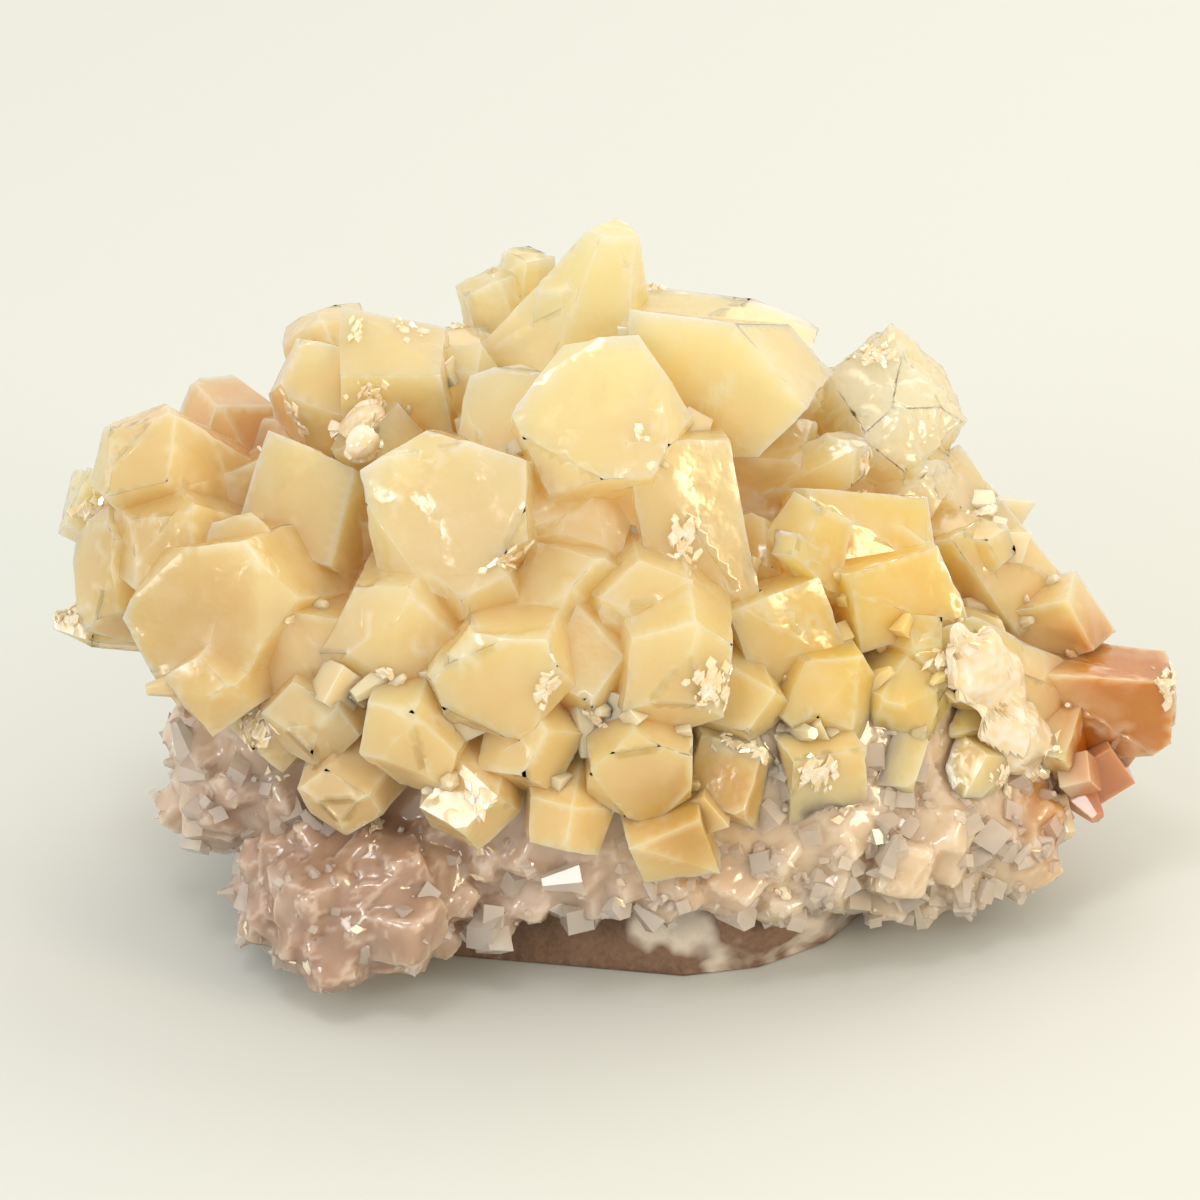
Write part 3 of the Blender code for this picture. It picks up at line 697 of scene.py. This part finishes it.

# Split calcite: bright, almost white, partly the white of its cracks and partly a painted reflection of the
# light that they mirror; the same white flakes strewn on the crust are painted glints.
split, tree, shader = new_material("split_calcite")
tint = add_node(tree, "TexNoise", Vector=place_in_mm(tree), Scale=1.5, Detail=0.0).outputs["Fac"]
whites = add_node(tree, "ValToRGB", Fac=tint)
for element, position, code in zip(whites.color_ramp.elements, (0.3, 0.7), ("#FBE6BC", "#FEF6E2")):
    element.position = position
    element.color = linear(code)
tree.links.new(whites.outputs["Color"], shader.inputs["Base Color"])
shader.inputs["Transmission Weight"].default_value = 0.3
shader.inputs["Metallic"].default_value = 0.2
shader.inputs["Roughness"].default_value = 0.12
flakes.data.materials.append(split)

# The stage: a pale sweep, small soft lights from the left, the right and above, which make the facets
# glint, and a larger one behind, which lights the crystals through.
SWEEP = 6  # m, its width
bm = bmesh.new()
bmesh.ops.create_grid(bm, x_segments=1, y_segments=1, size=SWEEP / 2)
mesh = bpy.data.meshes.new("floor")
bm.to_mesh(mesh)
bm.free()
floor = bpy.data.objects.new("floor", mesh)
floor.location.z = -0.1 * MM
bpy.context.scene.collection.objects.link(floor)
paper, tree, shader = new_material("pale_paper")
shader.inputs["Base Color"].default_value = linear("#C8CBC6")
shader.inputs["Roughness"].default_value = 0.9
floor.data.materials.append(paper)

for name, place, size, power, colour in (  # metres and watts
    ("over_left", (-0.24, -0.34, 0.22), 0.12, 0.40, "#FFFFFF"),
    ("over_right", (0.34, -0.26, 0.16), 0.12, 0.75, "#FFE2B8"),
    ("above", (-0.08, -0.16, 0.44), 0.10, 0.26, "#FFFFFF"),
    ("low_left", (-0.40, -0.10, 0.10), 0.08, 0.12, "#FFFFFF"),
    ("behind", (0.16, 0.26, 0.34), 0.30, 0.60, "#FFF4E0"),
):
    light = bpy.data.lights.new(name, "AREA")
    light.size = size
    light.energy = power
    light.color = linear(colour)[:3]
    lamp = bpy.data.objects.new(name, light)
    lamp.location = place
    lamp.rotation_euler = (Vector((0, 0, 0.02)) - Vector(place)).to_track_quat("-Z", "Y").to_euler()
    bpy.context.scene.collection.objects.link(lamp)

scene = bpy.context.scene
scene.world = bpy.data.worlds.new("soft_room")
scene.world.use_nodes = True
scene.world.node_tree.nodes["Background"].inputs["Color"].default_value = linear("#F8F5EF")
scene.world.node_tree.nodes["Background"].inputs["Strength"].default_value = 1.14
scene.view_settings.view_transform = "Standard"
scene.cycles.max_bounces = 7
scene.cycles.diffuse_bounces = 3
scene.cycles.glossy_bounces = 3
scene.cycles.transmission_bounces = 6
scene.cycles.sample_clamp_indirect = 1.5
